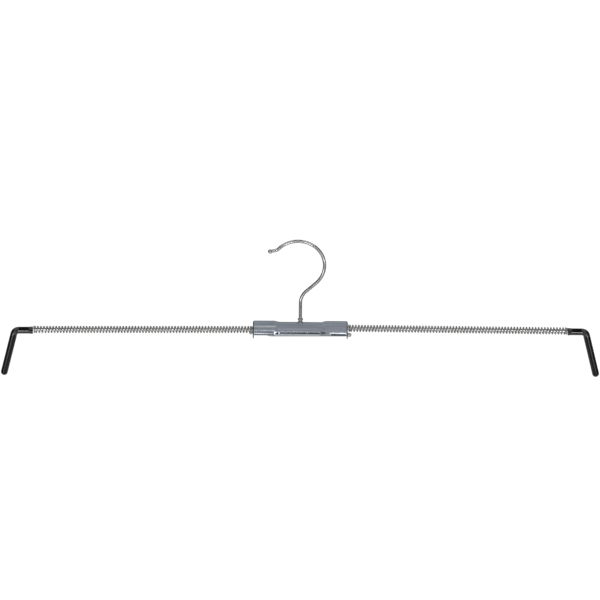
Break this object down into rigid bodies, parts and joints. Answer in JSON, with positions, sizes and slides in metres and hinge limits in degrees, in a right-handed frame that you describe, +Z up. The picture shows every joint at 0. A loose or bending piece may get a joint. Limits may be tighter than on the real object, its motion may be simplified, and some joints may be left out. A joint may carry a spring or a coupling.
{
  "type": "trouser hanger",
  "caption": "Spring-arm trouser hanger: swivel wire hook on a pressed steel case, with sprung sliding rods whose turned-down black dipped tips stretch a waistband.",
  "frame": {"origin": "the rail seat: the point inside the hook straight above its shaft, where a rail carries the hanger", "axes": "+X along the arms to the right as seen from the front, +Y to the back, +Z up"},
  "size_m": [0.4802, 0.012, 0.12],
  "materials": {
    "hook_wire": "bright nickel plate on drawn wire",
    "case_sheet": "bright zinc plate on rolled sheet",
    "rod_wire": "bright zinc plate on drawn wire",
    "spring_wire": "plated spring wire",
    "tip_sleeve": "glossy black dipped vinyl"
  },
  "bodies": {
    "hook": {"hook": "hook_wire"},
    "case": {"case": "case_sheet", "left_spring": "spring_wire", "right_spring": "spring_wire"},
    "left_arm": {"left_rod": "rod_wire", "left_tip_sleeve": "tip_sleeve"},
    "right_arm": {"right_rod": "rod_wire", "right_tip_sleeve": "tip_sleeve"}
  },
  "joints": [
    {"name": "hook_swivel", "type": "hinge", "parent": "hook", "child": "case", "pos_m": [0, 0, -0.07463], "axis": [0, 0, 1], "continuous": true},
    {"name": "left_arm_slide", "type": "slide", "parent": "case", "child": "left_arm", "axis": [1, 0, 0.0068], "range_m": [0, 0.06], "stiffness_N_per_m": 600, "springref_m": -0.012, "deforming": ["left_spring"]},
    {"name": "right_arm_slide", "type": "slide", "parent": "case", "child": "right_arm", "axis": [-1, 0, 0.0068], "range_m": [0, 0.06], "stiffness_N_per_m": 600, "springref_m": -0.012, "deforming": ["right_spring"]}
  ]
}
